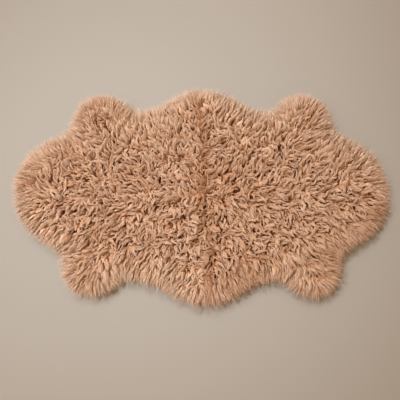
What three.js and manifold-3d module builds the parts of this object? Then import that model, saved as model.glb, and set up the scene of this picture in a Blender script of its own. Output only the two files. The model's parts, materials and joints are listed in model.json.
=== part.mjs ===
import * as THREE from "three";
import { mergeVertices } from "three/addons/utils/BufferGeometryUtils.js";
import Module from "manifold-3d";

// A shaped fur rug lying flat: two pelts sewn rump to rump along a seam across the middle.
// Millimetres, +X along the rug from neck to neck, +Z up from the floor.

// Outline of the fur: round lobes that run into an oval trunk.
const lobeBlend = 25; // distance over which neighbouring lobes run together
const trunk = { halfLength: 535, halfWidth: 293 };
const lobes = [
  { part: "neck of the right pelt", x: 420, y: 12, radius: 175 },
  { part: "far foreleg of the right pelt", x: 328, y: 240, radius: 95 },
  { part: "far hind legs, met at the seam", x: 8, y: 196, radius: 153 },
  { part: "far foreleg of the left pelt", x: -321, y: 237, radius: 95 },
  { part: "neck of the left pelt", x: -422, y: 14, radius: 174 },
  { part: "near foreleg of the left pelt", x: -343, y: -231, radius: 90 },
  { part: "near hind legs, met at the seam", x: 12, y: -200, radius: 146 },
  { part: "near foreleg of the right pelt", x: 344, y: -236, radius: 88 },
];

// Seam and parting
const seamGap = 0.3; // between the two cut edges
const parting = { depth: 11, width: 22 }; // the fur falls away on both sides of the seam

// Pile
const slabInset = 30; // the slab of fur ends this far inside the outline, and the rim locks go on
const pile = { rim: 15, crown: 34, shoulder: 62 }; // heights, and the run from rim to crown
const undercut = 0.02; // share by which the hide stays inside the edge of the fur
const tuft = { spacing: 46, relief: 9, roughness: 1.5, wander: 14, wanderLength: 260, turn: 0.3 };
const facet = { alongEdge: 20, acrossPelt: 15, fewest: 6 }; // size of the slab's facets

// Rim locks: three-sided, flat below with a ridge above, in stations from root to tip.
const lockRoot = 17; // length of a lock inside the slab
const lockReach = 36; // most that a lock stands out of the slab
const locksPerPelt = 140;
const seamClear = 12; // from the seam to the nearest lock
const lockSwing = 0.1; // sideways turn of a lock, in radians
const lockHook = 4; // sideways bend at its tip
const lockTiers = [
  {
    place: "on the floor",
    shortest: 0.6,
    tipHeight: 0,
    stations: [
      { along: 0, width: 15, lower: 4, ridge: 14 },
      { along: 0.55, width: 13, lower: 0, ridge: 10 },
      { along: 0.82, width: 7.5, lower: 0, ridge: 5 },
    ],
  },
  {
    place: "above it",
    shortest: 0.4,
    tipHeight: 14,
    stations: [
      { along: 0, width: 15, lower: 12, ridge: 24 },
      { along: 0.5, width: 12.5, lower: 13, ridge: 22 },
      { along: 0.8, width: 7, lower: 13, ridge: 18 },
    ],
  },
];

const peltCentre = 250; // distance of each pelt's middle from the seam
const pelts = [
  { name: "pelt_left", side: -1, furSeed: 1, lockSeed: 13 },
  { name: "pelt_right", side: 1, furSeed: 2, lockSeed: 21 },
];
const furColour = new THREE.Color().setRGB(178 / 255, 130 / 255, 98 / 255, THREE.SRGBColorSpace);

const wasm = await Module();
wasm.setup();

// Repeatable random numbers from 0 to 1
function dice(seed) {
  let state = seed;
  return () => {
    state = (Math.imul(state, 1664525) + 1013904223) >>> 0;
    return state / 2 ** 32;
  };
}

// Distance outside the fur's outline, negative inside it
function outlineField(x, y) {
  const oval = Math.hypot(x / trunk.halfLength, y / trunk.halfWidth);
  const slope = Math.hypot(x / trunk.halfLength ** 2, y / trunk.halfWidth ** 2) / oval;
  const distances = lobes.map((lobe) => Math.hypot(x - lobe.x, y - lobe.y) - lobe.radius);
  distances.push((oval - 1) / slope);
  const nearest = Math.min(...distances);
  const blend = distances.reduce((sum, d) => sum + Math.exp((nearest - d) / lobeBlend), 0);
  return nearest - lobeBlend * Math.log(blend);
}

// Direction in which the outline field grows fastest
function outward(x, y) {
  const step = 1;
  return new THREE.Vector2(
    outlineField(x + step, y) - outlineField(x - step, y),
    outlineField(x, y + step) - outlineField(x, y - step),
  ).normalize();
}

// Length along a ray at which the slab of fur ends
function slabReach(from, direction) {
  const halvings = 40;
  let inside = 0;
  let outside = trunk.halfLength * 2;
  for (let i = 0; i < halvings; i++) {
    const middle = (inside + outside) / 2;
    const at = from.clone().addScaledVector(direction, middle);
    if (outlineField(at.x, at.y) < -slabInset) inside = middle;
    else outside = middle;
  }
  return inside;
}

// Tufts as three crossing waves, each drifting a little so that they stay uneven
function tuftRelief(x, y) {
  const waves = [0, 1, 2].map((i) => {
    const angle = ((i + tuft.turn) * Math.PI) / 3;
    const drift = tuft.wander * Math.sin((2 * Math.PI * (y - i * x)) / tuft.wanderLength + i);
    const along = x * Math.cos(angle) + y * Math.sin(angle) + drift;
    return Math.cos((2 * Math.PI * along) / tuft.spacing);
  });
  return (tuft.relief * (waves[0] + waves[1] + waves[2])) / waves.length;
}

// Height of the fur: it rises from the rim to the tufted crown and dips at the parting
function pileHeight(x, y) {
  const inward = Math.max(0, -slabInset - outlineField(x, y));
  const fall = 1 - Math.min(1, inward / pile.shoulder);
  const dip = parting.depth * Math.exp(-((x / parting.width) ** 2));
  return pile.rim + (pile.crown - pile.rim - dip + tuftRelief(x, y)) * Math.sqrt(1 - fall * fall);
}

// Edge of one pelt's slab, counterclockwise: round the rim, then back along the seam
function peltEdge(side) {
  const seamX = (side * seamGap) / 2;
  const middle = new THREE.Vector2(side * peltCentre, 0);
  const corners = [1, -1].map((way) => {
    const seamFoot = new THREE.Vector2(seamX, 0);
    return new THREE.Vector2(seamX, way * slabReach(seamFoot, new THREE.Vector2(0, way)));
  });
  if (side > 0) corners.reverse();
  const [first, last] = corners.map((corner) => corner.clone().sub(middle).angle());
  const turn = (last - first + 2 * Math.PI) % (2 * Math.PI);
  const raySteps = 160;
  const rays = [];
  for (let i = 0; i <= raySteps; i++) {
    const angle = first + (turn * i) / raySteps;
    const direction = new THREE.Vector2(Math.cos(angle), Math.sin(angle));
    const length = slabReach(middle, direction);
    rays.push(new THREE.Vector3(middle.x + direction.x * length, middle.y + direction.y * length, 0));
  }
  const rim = new THREE.CatmullRomCurve3(rays);
  rim.arcLengthDivisions = raySteps * 8;
  const rimPoints = rim.getSpacedPoints(Math.round(rim.getLength() / facet.alongEdge));
  rimPoints[0].set(corners[0].x, corners[0].y, 0);
  rimPoints.at(-1).set(corners[1].x, corners[1].y, 0);
  const seam = new THREE.LineCurve3(rimPoints.at(-1), rimPoints[0]);
  const seamPoints = seam.getSpacedPoints(Math.round(seam.getLength() / facet.alongEdge)).slice(1, -1);
  return { seamX, middle, rim, rimPoints, loop: [...rimPoints, ...seamPoints] };
}

// The lumpy slab: rings that close in on the pelt's middle, over a flat underside
function peltSlab(edge, random) {
  const { loop, middle, seamX } = edge;
  const positions = [];
  const triangles = [];
  const addPoint = (x, y, z) => positions.push(x, y, z) / 3 - 1;

  const alongLoop = (share) => {
    const at = share * loop.length;
    const from = Math.floor(at);
    return loop[from].clone().lerp(loop[(from + 1) % loop.length], at - from);
  };
  const ringCount = Math.round(peltCentre / facet.acrossPelt);
  const furRing = (ring) => {
    const scale = ring / ringCount;
    const count = Math.max(facet.fewest, Math.round(loop.length * scale));
    return Array.from({ length: count }, (_, i) => {
      const p = alongLoop(i / count);
      const x = middle.x + (p.x - middle.x) * scale;
      const y = middle.y + (p.y - middle.y) * scale;
      const rough = ring < ringCount ? tuft.roughness * (2 * random() - 1) : 0;
      return addPoint(x, y, pileHeight(x, y) + rough);
    });
  };
  const joinRings = (outer, inner) => {
    let i = 0;
    let j = 0;
    while (i < outer.length || j < inner.length) {
      const a = outer[i % outer.length];
      const b = inner[j % inner.length];
      if (i < outer.length && (i + 1) * inner.length <= (j + 1) * outer.length) {
        triangles.push(a, outer[++i % outer.length], b);
      } else {
        triangles.push(a, inner[++j % inner.length], b);
      }
    }
  };
  const closeRing = (ring, tip) => {
    ring.forEach((a, i) => triangles.push(a, ring[(i + 1) % ring.length], tip));
  };

  const hide = loop.map((p) => {
    const onSeam = p.x === seamX;
    const onRim = edge.rimPoints.includes(p);
    const x = onSeam ? p.x : middle.x + (p.x - middle.x) * (1 - undercut);
    return addPoint(x, onRim ? p.y * (1 - undercut) : p.y, 0);
  });
  closeRing([...hide].reverse(), addPoint(middle.x, middle.y, 0));

  let outer = hide;
  for (let ring = ringCount; ring > 0; ring--) {
    const inner = furRing(ring);
    joinRings(outer, inner);
    outer = inner;
  }
  closeRing(outer, addPoint(middle.x, middle.y, pileHeight(middle.x, middle.y)));
  return closedSolid(positions, triangles);
}

// One three-sided lock that runs out of the slab to a point
function rimLock(root, direction, reach, hook, tier) {
  const across = new THREE.Vector2(-direction.y, direction.x);
  const positions = [];
  const triangles = [];
  const addPoint = (along, sideways, height) => {
    const out = along * (lockRoot + reach) - lockRoot;
    const aside = sideways + hook * along * along;
    const x = root.x + direction.x * out + across.x * aside;
    const y = root.y + direction.y * out + across.y * aside;
    return positions.push(x, y, height) / 3 - 1;
  };
  const sections = tier.stations.map(({ along, width, lower, ridge }) => [
    addPoint(along, -width / 2, lower),
    addPoint(along, width / 2, lower),
    addPoint(along, 0, ridge),
  ]);
  const tip = addPoint(1, 0, tier.tipHeight);
  const [first, last] = [sections[0], sections.at(-1)];
  triangles.push(first[0], first[2], first[1]);
  first.forEach((_, side) => {
    const next = (side + 1) % first.length;
    sections.slice(1).forEach((far, i) => {
      const near = sections[i];
      triangles.push(near[side], near[next], far[next], near[side], far[next], far[side]);
    });
    triangles.push(last[side], last[next], tip);
  });
  return closedSolid(positions, triangles);
}

// Locks all round a pelt's rim, turn about on the floor and above it
function rimLocks(edge, random) {
  const margin = seamClear / edge.rim.getLength();
  return Array.from({ length: locksPerPelt }, (_, i) => {
    const root = edge.rim.getPointAt(THREE.MathUtils.lerp(margin, 1 - margin, i / (locksPerPelt - 1)));
    const tier = lockTiers[i % lockTiers.length];
    const swing = lockSwing * (2 * random() - 1);
    const direction = outward(root.x, root.y).rotateAround(new THREE.Vector2(), swing);
    const reach = lockReach * THREE.MathUtils.lerp(tier.shortest, 1, random());
    const hook = lockHook * (2 * random() - 1);
    return rimLock(root, direction, reach, hook, tier);
  });
}

function closedSolid(positions, triangles) {
  const geometry = new THREE.BufferGeometry();
  geometry.setAttribute("position", new THREE.Float32BufferAttribute(positions, 3));
  geometry.setIndex(triangles);
  const merged = mergeVertices(geometry);
  return new wasm.Manifold(
    new wasm.Mesh({
      numProp: 3,
      vertProperties: merged.attributes.position.array,
      triVerts: new Uint32Array(merged.index.array),
    }),
  );
}

function peltMesh({ name, side, furSeed, lockSeed }) {
  const edge = peltEdge(side);
  const slab = peltSlab(edge, dice(furSeed));
  const solid = rimLocks(edge, dice(lockSeed)).reduce((pelt, lock) => pelt.add(lock), slab);
  const { vertProperties, triVerts } = solid.getMesh();
  const geometry = new THREE.BufferGeometry();
  geometry.setAttribute("position", new THREE.BufferAttribute(vertProperties, 3));
  geometry.setIndex(new THREE.BufferAttribute(triVerts, 1));
  geometry.computeVertexNormals();
  const material = new THREE.MeshStandardMaterial({ color: furColour, roughness: 0.95, metalness: 0 });
  const mesh = new THREE.Mesh(geometry, material);
  mesh.name = name;
  return mesh;
}

const rug = new THREE.Group();
rug.add(...pelts.map(peltMesh));

export default rug;
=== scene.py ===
import bpy
import json
import math
import numpy as np
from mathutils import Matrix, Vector

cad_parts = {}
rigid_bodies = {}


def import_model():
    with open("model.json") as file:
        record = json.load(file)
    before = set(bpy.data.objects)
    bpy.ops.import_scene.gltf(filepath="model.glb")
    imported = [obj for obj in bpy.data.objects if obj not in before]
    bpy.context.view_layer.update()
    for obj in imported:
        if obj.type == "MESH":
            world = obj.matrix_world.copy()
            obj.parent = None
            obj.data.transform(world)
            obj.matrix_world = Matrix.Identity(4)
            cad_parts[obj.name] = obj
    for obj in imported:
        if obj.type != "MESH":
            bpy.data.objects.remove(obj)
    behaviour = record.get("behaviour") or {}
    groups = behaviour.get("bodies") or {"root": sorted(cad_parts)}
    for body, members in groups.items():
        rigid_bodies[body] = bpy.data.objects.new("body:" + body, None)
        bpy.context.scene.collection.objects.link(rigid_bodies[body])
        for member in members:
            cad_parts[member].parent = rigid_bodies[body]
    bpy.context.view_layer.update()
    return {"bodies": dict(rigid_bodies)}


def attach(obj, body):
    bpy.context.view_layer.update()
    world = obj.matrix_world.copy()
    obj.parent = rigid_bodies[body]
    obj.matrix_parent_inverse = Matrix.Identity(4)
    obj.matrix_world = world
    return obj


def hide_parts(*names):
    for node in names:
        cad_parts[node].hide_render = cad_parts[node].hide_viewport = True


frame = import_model()
body = list(frame["bodies"])[0]  # a rug has no joints, so all of it is one body


# Shader maths: wraps a socket, so that expressions on values add their Math nodes

class Shade:
    def __init__(self, tree, socket=None):
        self.tree = tree
        self.socket = socket

    def node(self, kind, settings=None, sockets=None, output=0):
        made = self.tree.nodes.new(kind)
        for name, value in (settings or {}).items():
            if name == "stops":
                self.setStops(made.color_ramp, value)
            else:
                setattr(made, name, value)
        for name, value in (sockets or {}).items():
            if isinstance(value, Shade):
                self.tree.links.new(value.socket, made.inputs[name])
            else:
                made.inputs[name].default_value = value
        return Shade(self.tree, made.outputs[output])

    def setStops(self, ramp, stops):
        while len(ramp.elements) < len(stops):
            ramp.elements.new(0.5)
        for element, (place, colour) in zip(ramp.elements, stops):
            element.position = place
            element.color = (*colour, 1.0)

    def maths(self, operation, first, second):
        return self.node("ShaderNodeMath", {"operation": operation}, {0: first, 1: second})

    def __add__(self, other):
        return self.maths("ADD", self, other)

    def __radd__(self, other):
        return self.maths("ADD", other, self)

    def __sub__(self, other):
        return self.maths("SUBTRACT", self, other)

    def __rsub__(self, other):
        return self.maths("SUBTRACT", other, self)

    def __mul__(self, other):
        return self.maths("MULTIPLY", self, other)

    def __rmul__(self, other):
        return self.maths("MULTIPLY", other, self)

    def mixedWith(self, other, share):
        return self.node("ShaderNodeMix", {"data_type": "RGBA"}, {0: share, 6: self, 7: other}, output=2)


def newMaterial(name, sockets):
    material = bpy.data.materials.new(name)
    material.use_nodes = True
    shader = material.node_tree.nodes["Principled BSDF"]
    for socket, value in sockets.items():
        shader.inputs[socket].default_value = value
    return material, shader, Shade(material.node_tree)


def feed(shade, shader, socket):
    shade.tree.links.new(shade.socket, shader.inputs[socket])


def linear(red, green, blue):
    return tuple(((c / 255 + 0.055) / 1.055) ** 2.4 for c in (red, green, blue))


# Outline of the fur: round lobes that run into an oval trunk, in metres

rugOutline = {
    "blend": 0.025,
    "trunk": (0.535, 0.293),
    "lobes": (  # x, y and radius
        (0.420, 0.012, 0.175),  # neck of the right pelt
        (0.328, 0.240, 0.095),  # its far foreleg
        (0.008, 0.196, 0.153),  # far hind legs, met at the seam
        (-0.321, 0.237, 0.095),  # far foreleg of the left pelt
        (-0.422, 0.014, 0.174),  # its neck
        (-0.343, -0.231, 0.090),  # its near foreleg
        (0.012, -0.200, 0.146),  # near hind legs, met at the seam
        (0.344, -0.236, 0.088),  # near foreleg of the right pelt
    ),
    "combing": 0.070,  # blend for the way the fur lies
    "forward": 0.060,  # over which that way turns from the root of a leg to its end
    "slack": 0.050,  # sum of ways too short to comb the fur in full
    "peltMiddle": 0.250,  # from the seam to the middle of each pelt
    "halvings": 36,  # steps in finding the edge along a ray
    "seamGap": 0.0003,
}


def lobeDistances(x, y):  # from the rim of each lobe, then of the trunk
    halfLength, halfWidth = rugOutline["trunk"]
    oval = np.hypot(x / halfLength, y / halfWidth) + 1e-9
    slope = np.hypot(x / halfLength**2, y / halfWidth**2) / oval + 1e-9
    distances = [np.hypot(x - lobeX, y - lobeY) - radius for lobeX, lobeY, radius in rugOutline["lobes"]]
    return np.array(distances + [(oval - 1) / slope])


def outlineField(x, y):  # distance outside the fur, negative inside it
    distances = lobeDistances(x, y)
    nearest = distances.min(0)
    blend = rugOutline["blend"]
    return nearest - blend * np.log(np.exp((nearest - distances) / blend).sum(0))


def outwardWay(x, y):  # unit vector in which the fur is combed: along each leg, then out over the rim
    distances = lobeDistances(x, y)
    soft, forward = rugOutline["combing"], rugOutline["forward"]
    weights = np.exp((distances.min(0) - distances) / soft)
    wayX, wayY = np.zeros_like(x), np.zeros_like(y)
    for weight, (lobeX, lobeY, radius) in zip(weights, rugOutline["lobes"]):
        legX, legY = lobeX / math.hypot(lobeX, lobeY), lobeY / math.hypot(lobeX, lobeY)
        along = (x - lobeX) * legX + (y - lobeY) * legY
        aside = (y - lobeY) * legX - (x - lobeX) * legY
        along = np.logaddexp(0, along / forward) * forward  # never back toward the trunk
        away = np.hypot(np.hypot(along, aside), soft)
        wayX = wayX + weight * (along * legX - aside * legY) / away
        wayY = wayY + weight * (along * legY + aside * legX) / away
    halfLength, halfWidth = rugOutline["trunk"]
    wayX = wayX + weights[-1] * x / halfLength**2 * halfWidth
    wayY = wayY + weights[-1] * y / halfWidth
    size = np.hypot(np.hypot(wayX, wayY), rugOutline["slack"])
    return wayX / size, wayY / size


def rimWay(x, y):  # unit vector straight out over the nearest rim
    step = 0.004
    wayX = outlineField(x + step, y) - outlineField(x - step, y)
    wayY = outlineField(x, y + step) - outlineField(x, y - step)
    size = np.hypot(wayX, wayY) + 1e-12
    return wayX / size, wayY / size


def drift(x, y, wavelength, seed):  # smooth uneven waves of about unit size
    dice = np.random.default_rng(seed)
    waves = 9
    lengths = (0.7, 1.4)  # least and most, as shares of the wavelength
    way = dice.uniform(0, 2 * np.pi, waves)
    shift = dice.uniform(0, 2 * np.pi, waves)
    pace = 2 * np.pi / (wavelength * dice.uniform(*lengths, waves))
    total = np.zeros_like(x)
    for i in range(waves):
        total = total + np.sin(pace[i] * (x * np.cos(way[i]) + y * np.sin(way[i])) + shift[i])
    return total / math.sqrt(waves / 2)


def ease(low, high, value):
    share = np.clip((value - low) / (high - low), 0, 1)
    return share * share * (3 - 2 * share)


def peltLoop(side, inset, rayCount):  # edge of one pelt, counterclockwise about its middle
    middleX = side * rugOutline["peltMiddle"]
    seamX = side * rugOutline["seamGap"] / 2

    def reach(fromX, wayX, wayY):
        inside = np.zeros_like(wayX)
        outside = np.ones_like(wayX)
        for _ in range(rugOutline["halvings"]):
            half = (inside + outside) / 2
            within = outlineField(fromX + wayX * half, wayY * half) < -inset
            inside = np.where(within, half, inside)
            outside = np.where(within, outside, half)
        return inside

    seamEnds = reach(seamX, np.zeros(2), np.array([1.0, -1.0])) * np.array([1, -1])
    angles = np.linspace(0, 2 * np.pi, rayCount, endpoint=False)
    corners = np.arctan2(seamEnds, seamX - middleX) % (2 * np.pi)
    angles = np.sort(np.concatenate([angles, corners]))
    wayX, wayY = np.cos(angles), np.sin(angles)
    length = reach(middleX, wayX, wayY)
    towardSeam = np.where(wayX * side < -1e-6, (seamX - middleX) / np.where(wayX == 0, 1, wayX), np.inf)
    length = np.minimum(length, towardSeam)
    return np.stack([middleX + wayX * length, wayY * length], 1), np.array([middleX, 0.0])


def meshPiece(name, points, quads, triangles, material, uv=None, normals=None, smooth=True):
    mesh = bpy.data.meshes.new(name)
    corners = np.concatenate([np.asarray(quads, int).ravel(), np.asarray(triangles, int).ravel()])
    sizes = np.concatenate([np.full(len(quads), 4), np.full(len(triangles), 3)])
    starts = np.concatenate([[0], np.cumsum(sizes)[:-1]])
    mesh.vertices.add(len(points))
    mesh.vertices.foreach_set("co", np.asarray(points, np.float32).ravel())
    mesh.loops.add(len(corners))
    mesh.loops.foreach_set("vertex_index", corners.astype(np.int32))
    mesh.polygons.add(len(sizes))
    mesh.polygons.foreach_set("loop_start", starts.astype(np.int32))
    mesh.polygons.foreach_set("use_smooth", np.full(len(sizes), smooth))
    mesh.update(calc_edges=True)
    if uv is not None:
        layer = mesh.uv_layers.new(name="OFBake")
        layer.data.foreach_set("uv", np.asarray(uv, np.float32)[corners].ravel())
    mesh.materials.append(material)
    mesh.validate()
    if normals is not None:
        mesh.normals_split_custom_set_from_vertices(normals)
    piece = bpy.data.objects.new(name, mesh)
    bpy.context.scene.collection.objects.link(piece)
    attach(piece, body)
    return piece


# Fur colours run from root to tip, and from the deep tint of the parting to the pale rim. The dark,
# saturated roots are partly the wool's own colour and partly painted shade deep in the coat.

furFinish = {  # places along a lock and their colours
    "deep": (
        (0.0, linear(112, 40, 2)),
        (0.30, linear(136, 72, 28)),
        (0.48, linear(157, 106, 69)),
        (1.0, linear(171, 124, 89)),
    ),
    "tan": (
        (0.0, linear(134, 54, 6)),
        (0.30, linear(162, 98, 48)),
        (0.48, linear(206, 166, 132)),
        (1.0, linear(221, 188, 158)),
    ),
    "rim": (
        (0.0, linear(126, 64, 22)),
        (0.30, linear(160, 108, 66)),
        (0.48, linear(206, 170, 138)),
        (0.75, linear(213, 180, 150)),
        # darker at the very tip: painted shade, toning down the lamps' light on the rim's tips
        (1.0, linear(182, 157, 132)),
    ),
    "tanFrom": 0.62,  # the tint that is all tan
    "rimFrom": (0.46, 2.6),  # the tint at which the rim's colour sets in, and how fast
    "fibres": 45,  # streaks over the whole range of tints
    "breaks": 5,  # changes of a streak along a lock
    "streak": 0.22,
    "roughness": 0.7,
    "specular": 0.03,
}


def furMaterial():
    material, shader, shade = newMaterial("curlyFur", {
        "Roughness": furFinish["roughness"],
        "Specular IOR Level": furFinish["specular"],
    })
    place = shade.node("ShaderNodeUVMap", {"uv_map": "OFBake"})
    tint = shade.node("ShaderNodeSeparateXYZ", {}, {0: place}, output=0)
    alongLock = shade.node("ShaderNodeSeparateXYZ", {}, {0: place}, output=1)
    deep, tan, rim = [shade.node("ShaderNodeValToRGB", {"stops": furFinish[name]}, {0: alongLock})
                      for name in ("deep", "tan", "rim")]
    fibres = shade.node("ShaderNodeCombineXYZ", {},
                        {0: tint * furFinish["fibres"], 1: alongLock * furFinish["breaks"]})
    streaks = shade.node("ShaderNodeTexNoise", {"noise_dimensions": "2D"},
                         {"Vector": fibres, "Scale": 1.0, "Detail": 1.0})
    streaked = tint + (streaks - 0.5) * furFinish["streak"]
    colour = deep.mixedWith(tan, streaked * (1 / furFinish["tanFrom"]))
    start, pace = furFinish["rimFrom"]
    feed(colour.mixedWith(rim, (tint - start) * pace), shader, "Base Color")
    return material


def grainOf(shade, scale, detail):
    place = shade.node("ShaderNodeTexCoord", output="Object")
    return shade.node("ShaderNodeTexNoise", {}, {"Vector": place, "Scale": scale, "Detail": detail})


# dark brown of the underwool: partly the colour near the roots, partly painted shade deep between the locks
woolAndShadeFinish = {
    "stops": ((0.3, linear(98, 52, 24)), (0.75, linear(130, 80, 46))),
    "grain": (160, 3.0),  # scale and detail
    "bump": {"Strength": 0.6, "Distance": 0.004},
    "roughness": 0.9,
    "specular": 0.1,
}


def woolMaterial():
    material, shader, shade = newMaterial("underwool", {
        "Roughness": woolAndShadeFinish["roughness"],
        "Specular IOR Level": woolAndShadeFinish["specular"],
    })
    grain = grainOf(shade, *woolAndShadeFinish["grain"])
    feed(shade.node("ShaderNodeValToRGB", {"stops": woolAndShadeFinish["stops"]}, {0: grain}), shader, "Base Color")
    feed(shade.node("ShaderNodeBump", {}, {**woolAndShadeFinish["bump"], "Height": grain}), shader, "Normal")
    return material


hideFinish = {
    "stops": ((0.3, linear(196, 172, 142)), (0.7, linear(222, 203, 178))),
    "mottle": (18, 4.0),  # scale and detail
    "nap": (420, 2.0),
    "shares": (0.7, 0.3),  # of the two in the colour
    "bump": {"Strength": 0.3, "Distance": 0.001},
    "roughness": 0.85,
    "uneven": 0.2,
    "specular": 0.2,
}


def hideMaterial():
    material, shader, shade = newMaterial("suedeHide", {"Specular IOR Level": hideFinish["specular"]})
    mottle, nap = [grainOf(shade, *hideFinish[name]) for name in ("mottle", "nap")]
    mottleShare, napShare = hideFinish["shares"]
    grain = mottle * mottleShare + nap * napShare
    feed(shade.node("ShaderNodeValToRGB", {"stops": hideFinish["stops"]}, {0: grain}), shader, "Base Color")
    feed(hideFinish["roughness"] + (nap - 0.5) * hideFinish["uneven"], shader, "Roughness")
    feed(shade.node("ShaderNodeBump", {}, {**hideFinish["bump"], "Height": nap}), shader, "Normal")
    return material


fur = furMaterial()
wool = woolMaterial()
suede = hideMaterial()
print("materials made")


# Hides: two flat skins cut short of the fur and met at the seam

hideCut = {"inset": 0.036, "foot": 0.0002, "thickness": 0.003, "bevel": 0.001, "rays": 260}


def ringsPiece(name, rings, foot, crown, material):  # closed solid from rings, first ring at the bottom
    count = len(rings[0])
    points = np.concatenate(rings + [foot[None], crown[None]])
    index = np.arange(count)
    following = (index + 1) % count
    quads = []
    for level in range(len(rings) - 1):
        low, high = level * count, (level + 1) * count
        quads.append(np.stack([low + index, low + following, high + following, high + index], 1))
    last = (len(rings) - 1) * count
    under = np.stack([following, index, np.full(count, len(points) - 2)], 1)
    over = np.stack([last + index, last + following, np.full(count, len(points) - 1)], 1)
    return meshPiece(name, points, np.concatenate(quads), np.concatenate([under, over]), material)


def atHeight(loop, height):
    return np.column_stack([loop, np.broadcast_to(height, len(loop))])


def makeHide(name, side):
    loop, middle = peltLoop(side, hideCut["inset"], hideCut["rays"])
    narrow = middle + (loop - middle) * (1 - hideCut["bevel"] / rugOutline["peltMiddle"])
    foot, top, bevel = hideCut["foot"], hideCut["thickness"], hideCut["bevel"]
    levels = ((narrow, foot), (loop, bevel), (loop, top - bevel), (narrow, top))
    rings = [atHeight(ring, height) for ring, height in levels]
    hide = ringsPiece(name, rings, np.array([*middle, foot]), np.array([*middle, top]), suede)
    following = np.roll(loop, -1, axis=0)
    area = 0.5 * abs(np.sum(loop[:, 0] * following[:, 1] - following[:, 0] * loop[:, 1]))
    width, length = np.ptp(loop[:, 0]), np.ptp(loop[:, 1])
    return hide, (float(width), float(length)), float(area)


# Underwool: the dense dark fleece that fills the space between the locks; its dark brown is partly root
# colour and partly painted shade deep in the coat

underwool = {
    "inset": 0.030,
    "foot": hideCut["thickness"] - 0.0005,
    "rim": 0.006,
    "crown": 0.015,
    "shoulder": 0.06,
    "lump": 0.003,
    "lumps": 0.045,  # from one lump to the next
    "rays": 200,
    "rings": 26,
}


def makeUnderwool(name, side):
    loop, middle = peltLoop(side, underwool["inset"], underwool["rays"])

    def height(xy):
        inward = np.maximum(0, -underwool["inset"] - outlineField(xy[:, 0], xy[:, 1]))
        rise = np.sqrt(ease(0, underwool["shoulder"], inward))
        lumps = underwool["lump"] * drift(xy[:, 0], xy[:, 1], underwool["lumps"], 5)
        return underwool["rim"] + (underwool["crown"] - underwool["rim"] + lumps) * rise

    rings = [atHeight(loop, underwool["foot"])]
    for step in range(underwool["rings"]):
        ring = middle + (loop - middle) * (1 - step / underwool["rings"])
        rings.append(atHeight(ring, height(ring)))
    foot = np.array([*middle, underwool["foot"]])
    crown = np.array([*middle, height(middle[None])[0]])
    return ringsPiece(name, rings, foot, crown, wool)


for side, word in ((-1, "left"), (1, "right")):
    makeHide("hide_" + word, side)
    makeUnderwool("underwool_" + word, side)
print("hides and underwool made")


# Coat: tufts and smaller curls, each a fan of fine strands that follow one wavy line

coat = {
    "rimRows": (  # inset and spacing of the outermost rows of locks
        (0.0135, 0.0052),
        (0.021, 0.0056),
        (0.030, 0.0066),
    ),
    "rowRays": 720,
    "rowJitter": 0.3,
    "seamStretch": 0.002,  # on either side of the seam, where the rows stop
    "grid": 0.024,  # inset of the fields of locks behind them
    "gridHalf": (0.62, 0.37),  # half length and half width that the fields cover
    "jitter": 0.36,
    "shown": 0.66,  # the share of a lock's length that stands over its place on the grid
    "tufts": 0.055,  # from one rise of the coat to the next
    "fields": 0.13,  # from a field of tufts to a field of curls
    "fieldEdges": (-0.6, 0.8),  # of the drift, from all curls to all tufts
    "zones": (0.052, 0.115),  # insets at which the fur is cut into pieces
    "raised": 0.95,  # how far the normals turn toward the sky
    "shoulder": (0.055, 0.04, 0.75),  # inset, half width and how much less is raised there
    "floor": 0.0003,  # the lowest that a strand may lie
    "lockSizes": (0.5, 2.0),  # least and most, as shares of the usual width
    "narrowerRim": 0.10,
    "tintMargin": 0.02,  # left free at the sides of the texture, and half of it at its ends
}
tuftLocks = {
    "spacing": 0.0156,
    "length": (0.044, 0.062),
    "halfWidth": 0.0057,
    "uneven": 0.42,  # spread of the widths
    "curl": 0.50,  # swing of the waves, in radians
    "wavelength": (0.032, 0.052),
    "hook": 0.7,  # bend toward the tip
    "each": 23,  # strands in a lock
    "kept": (0.60, 1.0),  # share of the places among curls and among tufts
    "seed": 60,
}
curlLocks = {
    "spacing": 0.0118,
    "length": (0.036, 0.050),
    "halfWidth": 0.0027,
    "uneven": 0.25,
    "curl": 0.85,
    "wavelength": (0.022, 0.034),
    "hook": 1.2,
    "each": 8,
    "kept": (0.80, 0.15),
    "seed": 64,
}
rimLocks = {
    "length": (0.038, 0.054),
    "halfWidth": 0.0036,
    "uneven": 0.30,
    "curl": 0.40,
    "wavelength": (0.026, 0.042),
    "hook": 0.7,
    "each": 10,
    "seed": 68,
}
strands = {
    "halfWidth": 0.00086,
    "flatness": 0.55,  # height of a fan as a share of its half width
    "roll": 1.0,  # turn of the outer strands to face away from the middle of the fan
    "stations": (0.14, 0.40, 0.58, 0.76, 0.90, 1.0),
    "bundle": (0.7, 1.0, 0.95, 0.74, 0.50, 0.30),
    "taper": (0.9, 1.0, 1.0, 0.85, 0.6, 0.0),
    "frizz": 0.0008,
    "shorter": 0.09,  # spread of the lengths
    "rounded": 0.22,  # how much shorter the outer strands are
}
fan = {  # what all the strands of a lock have in common
    "fewest": 4,
    "sunk": 0.5,  # height that the lower strands lose
    "ripple": 0.0052,  # width of the finer bunches within a lock
    "rippleHeight": 0.10,
    "fullerRim": 0.8,  # how much of the narrowing toward the tip is lost at the rim
    "finerRim": 0.35,
    "thickness": (0.65, 1.35),
    "rollSpread": 0.45,
    # tints: spread is the strands' own uneven tone; ripple makes the rising bunches paler and the dips
    # between them darker, depth darkens the lower strands and edge the sides of a lock: painted light and
    # shade
    "tints": {"spread": 0.07, "ripple": 0.15, "depth": -0.06, "edge": -0.30},
    "sideTints": (-0.04, 0.04),
}
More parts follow.
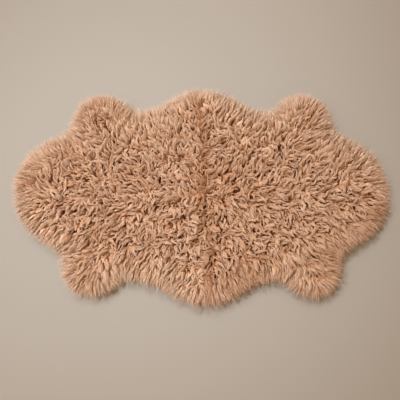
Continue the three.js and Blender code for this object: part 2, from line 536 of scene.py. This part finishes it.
leaf = {  # a short lock is one closed body
    "stations": (0.08, 0.40, 0.62, 0.82, 0.96),
    "width": (0.70, 1.0, 0.90, 0.55, 0.0),
    "thickness": (1.0, 1.0, 0.95, 0.6, 0.0),
    "sides": ((-1.0, 0.0), (0.0, -0.7), (1.0, 0.0), (0.0, 1.0)),  # across and up, as shares
    # tints of the four sides; the underside's darker tint is painted shade
    "tints": (-0.05, -0.16, 0.05, 0.0),
}
underLocks = {
    "spacing": 0.0118,
    "length": (0.034, 0.045),
    "halfWidth": 0.0064,
    "uneven": 0.36,
    "curl": 0.55,
    "wavelength": (0.024, 0.038),
    "hook": 0.9,
    "flatness": 0.25,
    # the short locks lie beneath the others, so their tint is darker and their colour stops short of the
    # pale tip: painted shade
    "paintedShade": 0.06,
    "paling": 0.85,  # how far the colour runs toward the tip's
    "hollows": 0.07,  # from one hollow of the coat to the next
    "hollowEdges": (-0.1, 1.1),  # of the drift, from none to a full hollow
    "thinned": 0.6,  # the share of the locks that a hollow lacks
    "fullTo": (0.05, 0.11),  # insets between which the thinning sets in
    "seed": 70,
}
wisps = {
    "rows": (  # inset and spacing
        (0.0055, 0.0027),
        (0.013, 0.0027),
        (0.022, 0.0029),
        (0.034, 0.0040),
    ),
    "length": (0.039, 0.060),
    "halfWidth": 0.00045,
    "lockWidth": 0.004,
    "uneven": 0.3,
    "curl": 0.40,
    "wavelength": (0.026, 0.042),
    "hook": 0.7,
    "each": 1,
    "flatness": 0.0,
    "roll": 0.0,
    "stations": (0.2, 0.5, 0.75, 0.9, 1.0),
    "bundle": (1.0, 1.0, 1.0, 1.0, 1.0),
    "taper": (1.0, 1.0, 0.85, 0.6, 0.0),
    "frizz": 0.0016,
    "shorter": 0.06,
    "rounded": 0.0,
    "seed": 80,
}


def rimRow(inset, spacing, dice):  # roots in a row along the rim, the seam left out
    rows = []
    jitter = coat["rowJitter"]
    for side in (-1, 1):
        loop, _ = peltLoop(side, inset, coat["rowRays"])
        start = np.argmin(np.abs(loop[:, 0]))
        loop = np.roll(loop, -start, axis=0)
        loop = loop[np.abs(loop[:, 0]) > coat["seamStretch"]]
        walked = np.concatenate([[0], np.cumsum(np.hypot(*np.diff(loop, axis=0).T))])
        stops = np.arange(spacing / 2, walked[-1], spacing)
        stops = stops + dice.uniform(-jitter, jitter, len(stops)) * spacing
        rows.append(np.stack([np.interp(stops, walked, values) for values in loop.T], 1))
    return np.concatenate(rows)


def lockField(step, seed):  # jittered hexagons over the whole rug
    dice = np.random.default_rng(seed)
    halfLength, halfWidth = coat["gridHalf"]
    columns = np.arange(-halfLength, halfLength, step)
    lines = np.arange(-halfWidth, halfWidth, step * math.sqrt(3) / 2)
    x = (columns[None] + (np.arange(len(lines)) % 2 * step / 2)[:, None]).ravel()
    y = np.repeat(lines, len(columns))
    x = x + dice.uniform(-1, 1, len(x)) * step * coat["jitter"]
    y = y + dice.uniform(-1, 1, len(y)) * step * coat["jitter"]
    return np.stack([x, y], 1)[outlineField(x, y) < -coat["grid"]]


partCurve = {"at": 0.0128, "slant": 0.0625, "swing": 0.010, "top": 0.165, "wavelength": 0.335}


def partingLine(y):  # the parting wanders a little either side of the seam
    turn = 2 * np.pi * (y - partCurve["top"]) / partCurve["wavelength"]
    return partCurve["at"] - partCurve["slant"] * y + partCurve["swing"] * np.cos(turn)


def tuftRise(x, y):
    return drift(x, y, coat["tufts"], 19)


def towardTufts(x, y):  # the way to the middle of the nearest rise, about 1 long half way there
    step = 0.001
    slopeX = tuftRise(x + step, y) - tuftRise(x - step, y)
    slopeY = tuftRise(x, y + step) - tuftRise(x, y - step)
    scale = coat["tufts"] / (2 * np.pi) / (2 * step)
    return slopeX * scale, slopeY * scale


lie = {  # how the locks lie, much calmer toward the rim
    "rimZone": (0.015, 0.110),  # insets between which the fur turns to lie outward
    "straight": 0.065,  # inset from which the locks turn straight over the rim
    "hold": (1.60, 1.4),  # of the combing, and how much more at the rim
    "calmRim": 0.75,
    "wide": (0.5, 0.16),  # strength and wavelength of uneven waves
    "narrow": (0.6, 0.065),
    "tufted": 0.7,  # pull toward the rises of the coat
    "own": 0.3,
    "parting": (0.5, 0.045),  # strength and reach
    "longerRim": 0.26,
    "raggedRim": 0.12,
    "longerTufts": 0.04,
    "phase": (3.2, 0.09, 0.5),  # strength and wavelength of the drift of the waves, and each lock's own
    "curled": 0.5,  # share of the length over which the waves grow to their full swing
    "straighterRim": 0.55,
    "hook": (0.9, 0.07, 0.5),  # strength, wavelength and each lock's own, of the bend toward the tip
    "hookFrom": (0.4, 1.4),  # share of the length, and the power with which the bend grows
    "rootLean": (24, 46, 10),  # least, most and how much more at the rim, in degrees from upright
    "tipLean": (80, 100, 20),
    "leaning": (0.15, 0.9),  # shares of the length between which the lean changes
    "bob": 0.4,  # rise and fall of a wave, as a share of its swing to the side
    "twist": (0.4, 0.06, 0.25, 0.15),  # strength, wavelength, each lock's own, and its spread at the root
    "untwistedRim": 0.5,
    "lowest": (0.0035, 0.002),  # that a lock's centre may lie over the floor, and how soft the limit is
    "steps": 28,
}


def lockGuides(x, y, kind):  # centre line of every lock, with its side and upper directions
    dice = np.random.default_rng(kind["seed"])
    count = len(x)
    inward = -outlineField(x, y)
    rim = 1 - ease(*lie["rimZone"], inward)
    calm = 1 - lie["calmRim"] * rim
    outX, outY = outwardWay(x, y)
    straightX, straightY = rimWay(x, y)
    straight = 1 - ease(0.0, lie["straight"], inward)
    outX = outX + (straightX - outX) * straight
    outY = outY + (straightY - outY) * straight

    def drifting(wave, seed):
        return wave[0] * drift(x, y, wave[1], seed)

    def wild(tuftWay, seed):
        waves = drifting(lie["wide"], seed) + drifting(lie["narrow"], seed + 1)
        return waves + lie["tufted"] * tuftWay + lie["own"] * dice.normal(size=count)

    tuftX, tuftY = towardTufts(x, y)
    wildX = wild(tuftX, 11)
    wildY = wild(tuftY, 13)
    fromParting = x - partingLine(y)
    strength, reach = lie["parting"]
    parted = strength * np.exp(-((fromParting / reach) ** 2)) * np.sign(fromParting)
    hold = lie["hold"][0] + lie["hold"][1] * rim
    heading = np.arctan2(hold * outY + calm * wildY, hold * outX + calm * wildX + parted * (1 - rim))

    steps = lie["steps"]
    share = np.linspace(0, 1, steps + 1)[None]
    middle = (share[:, 1:] + share[:, :-1]) / 2
    length = dice.uniform(*kind["length"], count)
    length = length * (1 + lie["longerRim"] * rim + lie["raggedRim"] * rim * dice.normal(size=count))
    length = (length * (1 + lie["longerTufts"] * (1 - rim) * tuftRise(x, y)))[:, None]
    wavelength = dice.uniform(*kind["wavelength"], count)[:, None]
    phase = np.stack([drifting(lie["phase"], 15), drifting(lie["phase"], 16)])
    phase = (phase + dice.normal(0, lie["phase"][2], (2, count)))[:, :, None]
    turns = 2 * np.pi * middle * length / wavelength
    curl = (kind["curl"] * (1 - lie["straighterRim"] * rim))[:, None]
    curl = curl * np.clip(middle / lie["curled"], 0, 1)
    hook = kind["hook"] * (drifting(lie["hook"], 17) + dice.normal(0, lie["hook"][2], count))
    start, power = lie["hookFrom"]
    tipward = np.clip((middle - start) / (1 - start), 0, 1) ** power
    bearing = heading[:, None] + curl * np.sin(turns + phase[0]) + (hook * calm)[:, None] * tipward
    rootLean, tipLean = [np.radians(dice.uniform(least, most, count) + more * rim)[:, None]
                         for least, most, more in (lie["rootLean"], lie["tipLean"])]
    lean = rootLean + (tipLean - rootLean) * ease(*lie["leaning"], middle)
    lean = lean + lie["bob"] * curl * np.sin(turns + phase[1])
    ways = np.stack([np.sin(lean) * np.cos(bearing), np.sin(lean) * np.sin(bearing), np.cos(lean)], 2)
    walked = np.cumsum(ways, 1) * (length / steps)[:, :, None]
    path = np.concatenate([np.zeros((count, 1, 3)), walked], 1)
    shift = np.stack([x, y], 1) - path[:, round(coat["shown"] * steps), :2]
    path = path + np.column_stack([shift, np.full(count, hideCut["thickness"])])[:, None]
    low, soft = lie["lowest"]
    path[:, :, 2] = low + np.logaddexp(0, (path[:, :, 2] - low) / soft) * soft

    tangent = np.gradient(path, axis=1)
    tangent /= np.linalg.norm(tangent, axis=2, keepdims=True)
    bearing = np.concatenate([bearing, bearing[:, -1:]], 1)
    across = np.stack([-np.sin(bearing), np.cos(bearing), np.zeros_like(bearing)], 2)
    across -= tangent * (across * tangent).sum(2, keepdims=True)
    across /= np.linalg.norm(across, axis=2, keepdims=True)
    above = np.cross(tangent, across)
    twist = drifting(lie["twist"], 18) + dice.normal(0, lie["twist"][2], count)
    twist = (twist * (1 - lie["untwistedRim"] * rim))[:, None] * share
    twist = twist + dice.normal(0, lie["twist"][3], count)[:, None]
    cosine, sine = np.cos(twist)[..., None], np.sin(twist)[..., None]
    across, above = across * cosine + above * sine, above * cosine - across * sine
    root = path[:, 0, :2]
    return {"path": path, "across": across, "above": above, "inward": inward, "rim": rim, "root": root}


def alongGuides(guides, owner, at):  # the guides read at shares (strand, station) of their lengths
    place = at * (guides["path"].shape[1] - 1)
    below = np.minimum(place.astype(int), guides["path"].shape[1] - 2)
    part = (place - below)[..., None]
    lock = owner[:, None]
    return [guides[key][lock, below] * (1 - part) + guides[key][lock, below + 1] * part
            for key in ("path", "across", "above")]


def tintPlaces(tints, sideTints, shown, rings):  # texture places: tint across, share of the length up
    margin = coat["tintMargin"]
    tints = np.clip(tints, margin - min(sideTints), 1 - margin - max(sideTints))
    across = tints[:, None] + np.append(np.tile(sideTints, rings), 0.0)[None]
    along = np.append(np.repeat(np.array(shown)[:rings], len(sideTints)), shown[-1])
    along = margin / 2 + (1 - margin) * along
    return np.stack([across, np.broadcast_to(along, across.shape)], 2).reshape(-1, 2)


def raised(facing, amount):  # normals turned toward the sky, for fur that light passes through
    facing = facing / (np.linalg.norm(facing, axis=-1, keepdims=True) + 1e-12)
    facing[..., 2] += np.where(facing[..., 2] < 0, -amount, amount)
    return facing / np.linalg.norm(facing, axis=-1, keepdims=True)


def taperedTubes(centres, across, above, sides, tints, sideTints, shown):  # closed, run to a point
    count, steps = centres.shape[:2]
    rings, facets = steps - 1, len(sides)
    sides = np.array(sides)
    skin = across[:, :rings, None] * sides[:, :1] + above[:, :rings, None] * sides[:, 1:]
    skin = centres[:, :rings, None] + skin
    skin[..., 2] = np.maximum(skin[..., 2], coat["floor"])
    points = np.concatenate([skin.reshape(count, rings * facets, 3), centres[:, rings:]], 1)
    each = rings * facets + 1
    ring, side = [grid.ravel() for grid in np.indices((rings - 1, facets))]
    following = (side + 1) % facets
    low, high = ring * facets, ring * facets + facets
    quads = np.stack([low + side, low + following, high + following, high + side], 1)
    last = (rings - 1) * facets
    triangles = [(last + i, last + (i + 1) % facets, each - 1) for i in range(facets)]
    triangles += [(0, i + 1, i) for i in range(1, facets - 1)]
    start = (np.arange(count) * each)[:, None, None]
    facing = skin - centres[:, :rings, None]
    facing = np.concatenate([facing.reshape(count, rings * facets, 3), above[:, rings - 1:rings]], 1)
    quads = (start + quads[None]).reshape(-1, 4)
    triangles = (start + np.array(triangles)[None]).reshape(-1, 3)
    places = tintPlaces(tints, sideTints, shown, rings)
    return points.reshape(-1, 3), quads, triangles, places, raised(facing, coat["raised"]).reshape(-1, 3)


def taperedStrips(centres, across, tints, sideTints, shown, amount):  # flat strands, run to a point
    count, rings = len(centres), centres.shape[1] - 1
    edges = np.stack([centres[:, :rings] - across[:, :rings], centres[:, :rings] + across[:, :rings]], 2)
    points = np.concatenate([edges.reshape(count, rings * 2, 3), centres[:, rings:]], 1)
    points[..., 2] = np.maximum(points[..., 2], coat["floor"])
    each = rings * 2 + 1
    ring = 2 * np.arange(rings - 1)
    quads = np.stack([ring, ring + 2, ring + 3, ring + 1], 1)
    start = (np.arange(count) * each)[:, None, None]
    tips = start + np.array([[each - 3, each - 1, each - 2]])[None]
    facing = np.cross(np.gradient(centres, axis=1), across)
    facing = np.concatenate([np.repeat(facing[:, :rings], 2, axis=1), facing[:, rings - 1:rings]], 1)
    quads, places = (start + quads[None]).reshape(-1, 4), tintPlaces(tints, sideTints, shown, rings)
    return points.reshape(-1, 3), quads, tips.reshape(-1, 3), places, raised(facing, amount).reshape(-1, 3)


def joined(parts):  # arrays of several sets of strands, as one mesh's
    offsets = np.cumsum([0] + [len(part[0]) for part in parts[:-1]])
    quads = np.concatenate([part[1] + offset for part, offset in zip(parts, offsets)])
    triangles = np.concatenate([part[2] + offset for part, offset in zip(parts, offsets)])
    points, uv, normals = [np.concatenate([part[i] for part in parts]) for i in (0, 3, 4)]
    return points, quads, triangles, uv, normals


def lockLeaves(guides):
    tints, halfWidths = guides["tint"], guides["width"][:, None]
    stations = np.array(leaf["stations"])
    everyLock = np.arange(len(tints))
    places = np.broadcast_to(stations, (len(tints), len(stations)))
    centres, across, above = alongGuides(guides, everyLock, places)
    across = across * (halfWidths * np.array(leaf["width"]))[..., None]
    above = above * (underLocks["flatness"] * halfWidths * np.array(leaf["thickness"]))[..., None]
    # the colour stops short of the pale tip: painted shade on the locks beneath the coat
    shown = stations / stations[-1] * underLocks["paling"]
    return taperedTubes(centres, across, above, leaf["sides"], tints, leaf["tints"], shown)


def lockStrands(guides, each, kind, seed):
    dice = np.random.default_rng(seed)
    counts = each if each == 1 else np.maximum(np.round(each * guides["share"]), fan["fewest"]).astype(int)
    owner = np.repeat(np.arange(len(guides["tint"])), counts)
    total = len(owner)
    aside = dice.uniform(-1, 1, total) * (each > 1)
    depth = dice.uniform(0, 1, total) ** 2
    offset = aside * guides["width"][owner] / fan["ripple"]
    ripple = np.sin(2 * np.pi * (offset + dice.uniform(0, 1, len(guides["tint"]))[owner])) * (each > 1)
    dome = np.sqrt(1 - aside**2) * (1 - fan["sunk"] * depth) - 0.5
    upward = dome * kind["flatness"] + fan["rippleHeight"] * ripple
    stations = np.array(kind["stations"])
    reach = 1 - kind["rounded"] * aside**2 - np.abs(dice.normal(0, kind["shorter"], total))
    centres, across, above = alongGuides(guides, owner, reach[:, None] * stations)
    rim = guides["rim"][owner][:, None]
    bundle = np.array(kind["bundle"])
    bundle = (bundle + (1 - bundle) * fan["fullerRim"] * rim) * guides["width"][owner][:, None]
    frizz = dice.normal(0, kind["frizz"], (total, len(stations), 3)) * stations[:, None]
    spread = across * aside[:, None, None] + above * upward[:, None, None]
    centres = centres + spread * bundle[..., None] + frizz
    roll = (aside * kind["roll"] + dice.normal(0, fan["rollSpread"], total))[:, None, None]
    across = across * np.cos(roll) - above * np.sin(roll)
    thick = kind["halfWidth"] * dice.uniform(*fan["thickness"], total)[:, None]
    thick = thick * (1 - fan["finerRim"] * rim) * np.array(kind["taper"])
    shift = fan["tints"]
    tints = guides["tint"][owner] + dice.normal(0, shift["spread"], total)
    # paler on the rising bunches, darker for the lower strands and at the sides of the lock: painted light
    # and shade
    tints = tints + shift["ripple"] * ripple + shift["depth"] * depth + shift["edge"] * aside**6
    inset, width, less = coat["shoulder"]
    shoulder = np.exp(-(((guides["inward"][owner] - inset) / width) ** 2))
    amount = (coat["raised"] * (1 - less * shoulder))[:, None]
    return taperedStrips(centres, across * thick[..., None], tints, fan["sideTints"], stations, amount)


coatTints = {  # 0 is the deep tint, 0.4 the usual one and 0.8 that of the rim
    "usual": 0.43,
    # paler on the rises of the coat and darker in its dips: painted light and shade
    "rises": 0.04,
    "own": 0.04,
    "parting": (0.36, 0.015),  # how much deeper, and half width
    "edge": 0.095,  # width of the paler rim
    "paler": (0.26, 1.5),  # at the rim, and how many times over a patch counts there
    # darker and paler patches, mostly painted light and shade: darker on the near and right sides turned
    # from the lamps and in hollows of the coat, paler on rims that face the lamps
    "shadeAndLightPatches": (  # x, y, radius and how much paler
        (0.08, 0.00, 0.15, -0.15),
        (0.14, -0.27, 0.10, -0.15),
        (0.45, -0.22, 0.10, -0.13),
        (0.57, -0.07, 0.06, -0.16),
        (-0.55, 0.045, 0.05, -0.14),
        (-0.40, 0.14, 0.13, -0.06),
        (-0.22, 0.05, 0.07, -0.10),
        (-0.33, -0.15, 0.08, -0.10),
        (-0.52, -0.14, 0.12, 0.12),
        (-0.06, -0.27, 0.08, 0.10),
        (0.13, 0.32, 0.10, 0.15),
        (0.52, 0.15, 0.14, 0.15),
        (-0.33, 0.29, 0.09, -0.08),
    ),
}


def lockTints(x, y, inward, seed):
    dice = np.random.default_rng(seed)
    deeper, width = coatTints["parting"]
    streak = deeper * np.exp(-(((x - partingLine(y)) / width) ** 2))
    # lean gathers the painted shade and light of the patches
    lean = np.zeros_like(x)
    for patchX, patchY, radius, amount in coatTints["shadeAndLightPatches"]:
        lean = lean + amount * np.exp(-((x - patchX) ** 2 + (y - patchY) ** 2) / radius**2)
    edge = 1 - ease(0.0, coatTints["edge"], inward)
    # the rises' share is painted light and shade; the random share is each lock's own tone
    own = coatTints["rises"] * tuftRise(x, y) + coatTints["own"] * dice.normal(size=len(x))
    # the patches count more at the rim, painting light on rims facing the lamps and shade on those turned
    # away
    paler, again = coatTints["paler"]
    return coatTints["usual"] + own + lean + (paler + again * lean) * edge - streak


def grow(places, kind, halfWidth):  # the guides of some locks, with their tints and widths
    x, y = places.T
    guides = lockGuides(x, y, kind)
    dice = np.random.default_rng(kind["seed"] + 1)
    guides["tint"] = lockTints(x, y, guides["inward"], kind["seed"] + 2)
    guides["share"] = np.clip(np.exp(dice.normal(0, kind["uneven"], len(x))), *coat["lockSizes"])
    guides["width"] = halfWidth * guides["share"] * (1 - coat["narrowerRim"] * guides["rim"])
    return guides


def some(guides, chosen):
    return {key: values[chosen] for key, values in guides.items()}


def mixedField(kind, dice):  # places of a kind of lock, in fields that run into each other
    places = lockField(kind["spacing"], kind["seed"] + 3)
    x, y = places.T
    amongCurls, amongTufts = kind["kept"]
    tufty = ease(*coat["fieldEdges"], drift(x, y, coat["fields"], 31))
    chance = amongCurls + (amongTufts - amongCurls) * tufty
    return places[dice.uniform(0, 1, len(places)) < chance]


def thinnedField():  # places of the short locks, fewer in the hollows of the coat
    places = lockField(underLocks["spacing"], 52)
    x, y = places.T
    inner = ease(*underLocks["fullTo"], -outlineField(x, y))
    hollow = ease(*underLocks["hollowEdges"], drift(x, y, underLocks["hollows"], 33)) * inner
    return places[np.random.default_rng(53).uniform(0, 1, len(x)) > underLocks["thinned"] * hollow]


def rimRows(rows, dice):
    return np.concatenate([rimRow(inset, spacing, dice) for inset, spacing in rows])


dice = np.random.default_rng(41)
tufted = grow(mixedField(tuftLocks, dice), tuftLocks, tuftLocks["halfWidth"])
curled = grow(mixedField(curlLocks, dice), curlLocks, curlLocks["halfWidth"])
rimmed = grow(rimRows(coat["rimRows"], dice), rimLocks, rimLocks["halfWidth"])
lower = grow(thinnedField(), underLocks, underLocks["halfWidth"])
# painted shade on the locks beneath the coat
lower["tint"] -= underLocks["paintedShade"]
fine = grow(rimRows(wisps["rows"], dice), wisps, wisps["lockWidth"])
print(len(tufted["tint"]), "tufts,", len(curled["tint"]), "curls,", len(rimmed["tint"]), "rim locks,",
      len(lower["tint"]), "short locks and", len(fine["tint"]), "wisps")

furPieces = {"left": [], "right": []}
triangleCount = 0
layers = (
    (tufted, lambda guides, seed: lockStrands(guides, tuftLocks["each"], strands, seed)),
    (curled, lambda guides, seed: lockStrands(guides, curlLocks["each"], strands, seed + 10)),
    (rimmed, lambda guides, seed: lockStrands(guides, rimLocks["each"], strands, seed + 20)),
    (fine, lambda guides, seed: lockStrands(guides, wisps["each"], wisps, seed + 30)),
    (lower, lambda guides, seed: lockLeaves(guides)),
)
for side, word in ((-1, "left"), (1, "right")):
    for number, place in enumerate(("rim", "shoulder", "crown")):
        parts = []
        for guides, make in layers:
            chosen = np.digitize(guides["inward"], coat["zones"]) == number
            chosen &= guides["root"][:, 0] * side > 0
            if chosen.any():
                parts.append(make(some(guides, chosen), 90 + number))
        points, quads, triangles, uv, normals = joined(parts)
        triangleCount += 2 * len(quads) + len(triangles)
        furPieces[word].append(meshPiece(f"fur_{word}_{place}", points, quads, triangles, fur, uv, normals))
        print("fur", word, place, 2 * len(quads) + len(triangles), "triangles")
print("fur made of", triangleCount, "triangles")

for word, node in (("left", "pelt_left"), ("right", "pelt_right")):
    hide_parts(node)


# Floor, light and camera

floorFinish = {"colour": linear(160, 153, 140), "size": 8.0, "roughness": 0.85, "specular": 0.2}


def makeFloor():
    half = floorFinish["size"] / 2
    mesh = bpy.data.meshes.new("floor")
    corners = [(-half, -half, 0), (half, -half, 0), (half, half, 0), (-half, half, 0)]
    mesh.from_pydata(corners, [], [(0, 1, 2, 3)])
    material, _, _ = newMaterial("paleFloor", {
        "Base Color": (*floorFinish["colour"], 1),
        "Roughness": floorFinish["roughness"],
        "Specular IOR Level": floorFinish["specular"],
    })
    mesh.materials.append(material)
    floor = bpy.data.objects.new("floor", mesh)
    bpy.context.scene.collection.objects.link(floor)


lamps = (  # large and soft, from the left and from the far side
    {"place": (-5.13, 1.35, 4.62), "aim": (-0.78, -0.2, 0), "power": 10.3},
    {"place": (-1.82, 5.61, 4.13), "aim": (0.06, 0.82, 0), "power": 10.5},
)
lampForm = {"size": 1.8, "spread": 15, "colour": (0.885, 0.965, 1.10)}
sky = {"colour": (1.0, 0.66, 0.40), "strength": 0.58}


def makeLamp(lamp):
    light = bpy.data.lights.new("softLamp", "AREA")
    light.shape = "DISK"
    light.size = lampForm["size"]
    light.spread = math.radians(lampForm["spread"])
    light.energy = lamp["power"]
    light.color = lampForm["colour"]
    holder = bpy.data.objects.new("softLamp", light)
    holder.location = lamp["place"]
    way = Vector(lamp["aim"]) - Vector(lamp["place"])
    holder.rotation_euler = way.to_track_quat("-Z", "Y").to_euler()
    bpy.context.scene.collection.objects.link(holder)


def makeSky():
    world = bpy.data.worlds.new("softSky")
    world.use_nodes = True
    background = world.node_tree.nodes["Background"]
    background.inputs["Color"].default_value = (*sky["colour"], 1)
    background.inputs["Strength"].default_value = sky["strength"]
    bpy.context.scene.world = world


viewpoint = {"elevation": 80, "distance": 1.778, "aim": (-0.0035, -0.0137, 0.0), "lens": 50}


def makeCamera():
    lens = bpy.data.cameras.new("camera")
    lens.lens = viewpoint["lens"]
    camera = bpy.data.objects.new("camera", lens)
    tilt = math.radians(viewpoint["elevation"])
    back = Vector((0, -math.cos(tilt), math.sin(tilt)))
    camera.location = Vector(viewpoint["aim"]) + back * viewpoint["distance"]
    camera.rotation_euler = back.to_track_quat("Z", "Y").to_euler()
    bpy.context.scene.collection.objects.link(camera)
    bpy.context.scene.camera = camera


makeFloor()
for lamp in lamps:
    makeLamp(lamp)
makeSky()
makeCamera()
bpy.context.scene.view_settings.view_transform = "Standard"
print("stage set")
